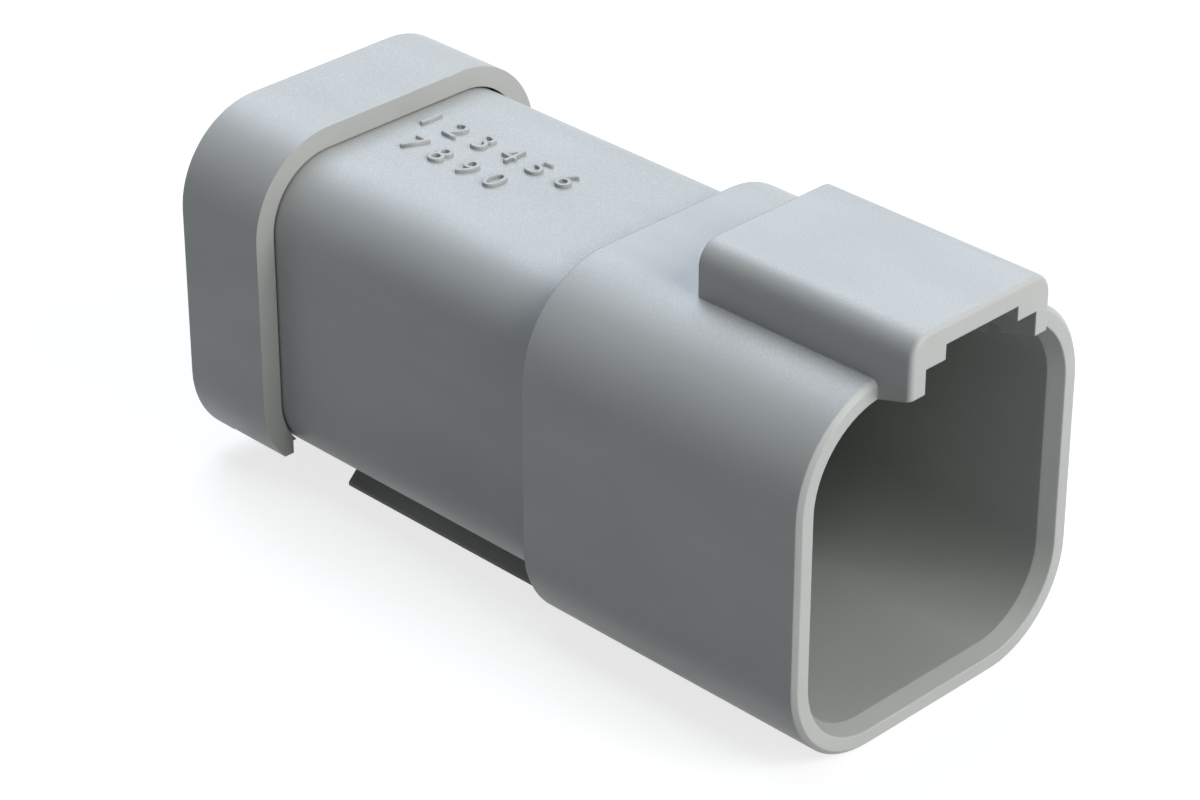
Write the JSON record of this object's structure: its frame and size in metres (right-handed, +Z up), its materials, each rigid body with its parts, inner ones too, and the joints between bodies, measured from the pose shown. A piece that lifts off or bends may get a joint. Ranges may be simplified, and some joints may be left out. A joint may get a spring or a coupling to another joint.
{
  "type": "sealed rectangular connector receptacle",
  "caption": "In-line sealed wire connector receptacle: rounded square shroud with a latch hood, recessed pins, slide-in lock plate, clip rail and a rear cap over the wire seal.",
  "frame": {"origin": "under the middle of the whole part, level with the underside of the shroud and the rail", "axes": "+X across, +Y from the open mouth back to the wires, +Z up towards the latch hood"},
  "size_m": [0.0212, 0.0484, 0.0246],
  "materials": {
    "housing": "fine spark-eroded",
    "cap": "fine spark-eroded",
    "seal": "smooth silicone",
    "lock": "satin",
    "contact": "turned, plated"
  },
  "bodies": {
    "receptacle": {"receptacle_housing": "housing", "rear_cap": "cap", "rear_grommet": "seal", "pin_contact_1": "contact", "pin_contact_2": "contact", "pin_contact_3": "contact", "pin_contact_4": "contact", "pin_contact_5": "contact", "pin_contact_6": "contact"},
    "lock": {"lock_plate": "lock"}
  },
  "joints": [
    {"name": "lock_slide", "type": "slide", "parent": "receptacle", "child": "lock", "axis": [0, -1, 0], "range_m": [0, 0.0335]}
  ]
}
